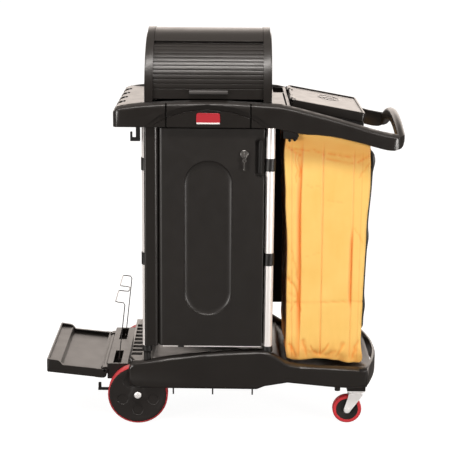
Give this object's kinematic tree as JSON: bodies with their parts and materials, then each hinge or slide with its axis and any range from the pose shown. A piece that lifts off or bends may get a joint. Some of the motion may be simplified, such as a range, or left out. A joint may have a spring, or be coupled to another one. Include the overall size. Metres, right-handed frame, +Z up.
{
  "type": "housekeeping cart",
  "caption": "Housekeeping cart with locking cabinet, roll-top hood, lidded waste bag, fold-up end platform, push handle, large wheels and swivel casters.",
  "frame": {"origin": "on the floor, at the middle of the overall length and width", "axes": "+X towards the push handle, -Y is the door side, +Z up"},
  "size_m": [1.2201, 0.552, 1.36],
  "materials": {
    "base_plastic": "fine moulded grain, satin",
    "top_plastic": "fine moulded grain, satin",
    "black_plastic": "matte black",
    "wheel_plastic": "satin",
    "red_tread": "matte red rubber",
    "aluminium": "satin anodised",
    "steel": "bright zinc",
    "chrome_wire": "bright chrome",
    "red_badge": "gloss, plain",
    "bag_vinyl": "soft coated vinyl cloth"
  },
  "bodies": {
    "frame": {"base": "base_plastic", "rear_axle": "steel", "caster_plate_front": "steel", "caster_plate_back": "steel", "post_front_left": "aluminium", "post_collar_front_left": "black_plastic", "clip_front_left_lower": "black_plastic", "clip_front_left_upper": "black_plastic", "post_front_right": "aluminium", "post_collar_front_right": "black_plastic", "clip_front_right_lower": "black_plastic", "clip_front_right_upper": "black_plastic", "post_back_left": "aluminium", "post_collar_back_left": "black_plastic", "clip_back_left_lower": "black_plastic", "clip_back_left_upper": "black_plastic", "post_back_right": "aluminium", "post_collar_back_right": "black_plastic", "clip_back_right_lower": "black_plastic", "clip_back_right_upper": "black_plastic", "side_wall_left": "black_plastic", "side_wall_right": "black_plastic", "back_panel": "black_plastic", "cabinet_floor": "black_plastic", "hinge_column": "top_plastic", "deck": "top_plastic", "fascia": "top_plastic", "badge": "red_badge", "deck_hook": "black_plastic", "hood_cap_left": "top_plastic", "hood_cap_right": "top_plastic", "hood_shell": "top_plastic", "bag_frame": "black_plastic", "lid_hinge": "black_plastic", "bag": "bag_vinyl", "rear_guard": "black_plastic", "platform_hinge": "base_plastic", "platform_rod": "black_plastic", "foot_bracket": "black_plastic"},
    "wheel_front": {"wheel_hub_front": "wheel_plastic", "wheel_tyre_front": "red_tread"},
    "wheel_back": {"wheel_hub_back": "wheel_plastic", "wheel_tyre_back": "red_tread"},
    "caster_front": {"caster_fork_front": "steel"},
    "caster_back": {"caster_fork_back": "steel"},
    "caster_wheel_front": {"caster_hub_front": "wheel_plastic", "caster_tyre_front": "red_tread"},
    "caster_wheel_back": {"caster_hub_back": "wheel_plastic", "caster_tyre_back": "red_tread"},
    "door": {"door": "top_plastic", "door_pull": "black_plastic"},
    "lock": {"door_lock": "steel", "key": "steel", "key_ring": "steel"},
    "curtain": {"curtain": "top_plastic", "curtain_pull": "top_plastic"},
    "lid": {"lid": "top_plastic"},
    "platform": {"platform": "base_plastic"},
    "wire_holder": {"wire_holder": "chrome_wire"}
  },
  "joints": [
    {"name": "wheel_front_spin", "type": "hinge", "parent": "frame", "child": "wheel_front", "pos_m": [-0.289, -0.236, 0.1048], "axis": [0, 1, 0], "continuous": true},
    {"name": "wheel_back_spin", "type": "hinge", "parent": "frame", "child": "wheel_back", "pos_m": [-0.289, 0.236, 0.1048], "axis": [0, 1, 0], "continuous": true},
    {"name": "caster_front_swivel", "type": "hinge", "parent": "frame", "child": "caster_front", "pos_m": [0.473, -0.222, 0.113], "axis": [0, 0, 1], "continuous": true},
    {"name": "caster_front_spin", "type": "hinge", "parent": "caster_front", "child": "caster_wheel_front", "pos_m": [0.444, -0.222, 0.0508], "axis": [0, 1, 0], "continuous": true},
    {"name": "caster_back_swivel", "type": "hinge", "parent": "frame", "child": "caster_back", "pos_m": [0.473, 0.222, 0.113], "axis": [0, 0, 1], "continuous": true},
    {"name": "caster_back_spin", "type": "hinge", "parent": "caster_back", "child": "caster_wheel_back", "pos_m": [0.444, 0.222, 0.0508], "axis": [0, 1, 0], "continuous": true},
    {"name": "door_hinge", "type": "hinge", "parent": "frame", "child": "door", "pos_m": [-0.2015, -0.246, 0.66], "axis": [0, 0, -1], "range_deg": [0, 105]},
    {"name": "lock_turn", "type": "hinge", "parent": "door", "child": "lock", "pos_m": [0.073, -0.258, 0.961], "axis": [0, 1, 0], "range_deg": [0, 90]},
    {"name": "curtain_roll", "type": "hinge", "parent": "frame", "child": "curtain", "pos_m": [-0.05, 0, 1.12], "axis": [-1, 0, 0], "range_deg": [0, 43]},
    {"name": "lid_hinge_turn", "type": "hinge", "parent": "frame", "child": "lid", "pos_m": [0.234, 0, 1.131], "axis": [0, -1, 0], "range_deg": [0, 100]},
    {"name": "platform_fold", "type": "hinge", "parent": "frame", "child": "platform", "pos_m": [-0.408, 0, 0.178], "axis": [0, 1, 0], "range_deg": [0, 84]},
    {"name": "wire_swing", "type": "hinge", "parent": "frame", "child": "wire_holder", "pos_m": [-0.362, 0, 0.186], "axis": [0, 1, 0], "range_deg": [-4, 10]}
  ]
}
